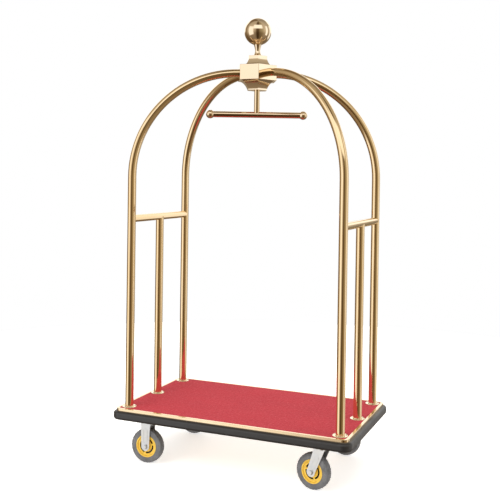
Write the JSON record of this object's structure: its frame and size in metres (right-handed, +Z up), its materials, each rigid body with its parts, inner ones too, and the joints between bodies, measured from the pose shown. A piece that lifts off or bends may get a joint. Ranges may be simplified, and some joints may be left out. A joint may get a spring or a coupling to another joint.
{
  "type": "hotel luggage cart",
  "caption": "Birdcage luggage cart: carpeted platform with rubber bumper, arched tubes meeting at a hub with a ball finial, garment hanger bar, fixed and swivel casters.",
  "frame": {"origin": "on the floor, at the middle of the platform", "axes": "+X along the platform towards the swivel casters, +Y across it towards the rear side, +Z up"},
  "size_m": [1.074, 0.628, 1.953],
  "materials": {
    "gold_tube": "mirror-polished champagne gold",
    "gold_trim": "mirror-polished champagne gold",
    "gold_hub": "mirror-polished champagne gold",
    "gold_hanger": "mirror-polished champagne gold",
    "plain_steel": "plain turned steel",
    "screws": "bright plated",
    "carpet": "cut-pile red carpet",
    "plywood": "birch plywood",
    "bumper_rubber": "satin black rubber",
    "aluminium": "mill finish",
    "frame_paint": "black powder coat",
    "zinc": "bright zinc plate",
    "tyre": "matt grey rubber",
    "rim": "satin yellow",
    "bush": "nylon"
  },
  "bodies": {
    "cart": {"arch_tube_front_left": "gold_tube", "arch_tube_front_right": "gold_tube", "arch_tube_rear_left": "gold_tube", "arch_tube_rear_right": "gold_tube", "bumper": "bumper_rubber", "bumper_rail": "aluminium", "carpet": "carpet", "caster_bolts": "zinc", "caster_fork_front_left": "zinc", "caster_fork_rear_left": "zinc", "caster_plate_front_right": "zinc", "caster_plate_rear_right": "zinc", "centre_post_left": "gold_tube", "centre_post_right": "gold_tube", "crown_low": "gold_hub", "crown_top": "gold_hub", "deck_board": "plywood", "edge_trim": "gold_trim", "finial_ball": "gold_hub", "finial_neck": "gold_hub", "flange_screws": "screws", "frame_end_left": "frame_paint", "frame_end_right": "frame_paint", "frame_middle": "frame_paint", "frame_side_front": "frame_paint", "frame_side_rear": "frame_paint", "hub_block": "gold_hub", "post_fixings": "plain_steel", "post_flange_centre_left": "gold_trim", "post_flange_centre_right": "gold_trim", "post_flange_front_left": "gold_trim", "post_flange_front_right": "gold_trim", "post_flange_rear_left": "gold_trim", "post_flange_rear_right": "gold_trim", "side_rail_left": "gold_tube", "side_rail_right": "gold_tube", "swivel_pivots": "zinc", "tie_rod": "plain_steel", "wheel_axle_front_left": "zinc", "wheel_axle_rear_left": "zinc"},
    "wheel_front_left": {"tyre_front_left": "tyre", "wheel_rim_front_left": "rim", "wheel_bush_front_left": "bush"},
    "wheel_rear_left": {"tyre_rear_left": "tyre", "wheel_rim_rear_left": "rim", "wheel_bush_rear_left": "bush"},
    "wheel_front_right": {"tyre_front_right": "tyre", "wheel_rim_front_right": "rim", "wheel_bush_front_right": "bush"},
    "wheel_rear_right": {"tyre_rear_right": "tyre", "wheel_rim_rear_right": "rim", "wheel_bush_rear_right": "bush"},
    "swivel_front_right": {"caster_fork_front_right": "zinc", "wheel_axle_front_right": "zinc"},
    "swivel_rear_right": {"caster_fork_rear_right": "zinc", "wheel_axle_rear_right": "zinc"},
    "hanger": {"hanger_bar": "gold_hanger", "hanger_bar_balls": "gold_hanger", "hanger_rod": "gold_hanger", "hanger_collar": "plain_steel"}
  },
  "joints": [
    {"name": "swivel_front_right", "type": "hinge", "parent": "cart", "child": "swivel_front_right", "pos_m": [0.399, -0.225, 0.176], "axis": [0, 0, 1], "continuous": true},
    {"name": "swivel_rear_right", "type": "hinge", "parent": "cart", "child": "swivel_rear_right", "pos_m": [0.399, 0.225, 0.176], "axis": [0, 0, 1], "continuous": true},
    {"name": "spin_front_left", "type": "hinge", "parent": "cart", "child": "wheel_front_left", "pos_m": [-0.399, -0.225, 0.074], "axis": [0, 1, 0], "continuous": true},
    {"name": "spin_rear_left", "type": "hinge", "parent": "cart", "child": "wheel_rear_left", "pos_m": [-0.399, 0.225, 0.074], "axis": [0, 1, 0], "continuous": true},
    {"name": "spin_front_right", "type": "hinge", "parent": "swivel_front_right", "child": "wheel_front_right", "pos_m": [0.361, -0.21623, 0.074], "axis": [0.225, 0.9744, 0], "continuous": true},
    {"name": "spin_rear_right", "type": "hinge", "parent": "swivel_rear_right", "child": "wheel_rear_right", "pos_m": [0.361, 0.23377, 0.074], "axis": [0.225, 0.9744, 0], "continuous": true},
    {"name": "hanger_turn", "type": "hinge", "parent": "cart", "child": "hanger", "pos_m": [0, 0, 1.527], "axis": [0, 0, 1], "continuous": true}
  ]
}
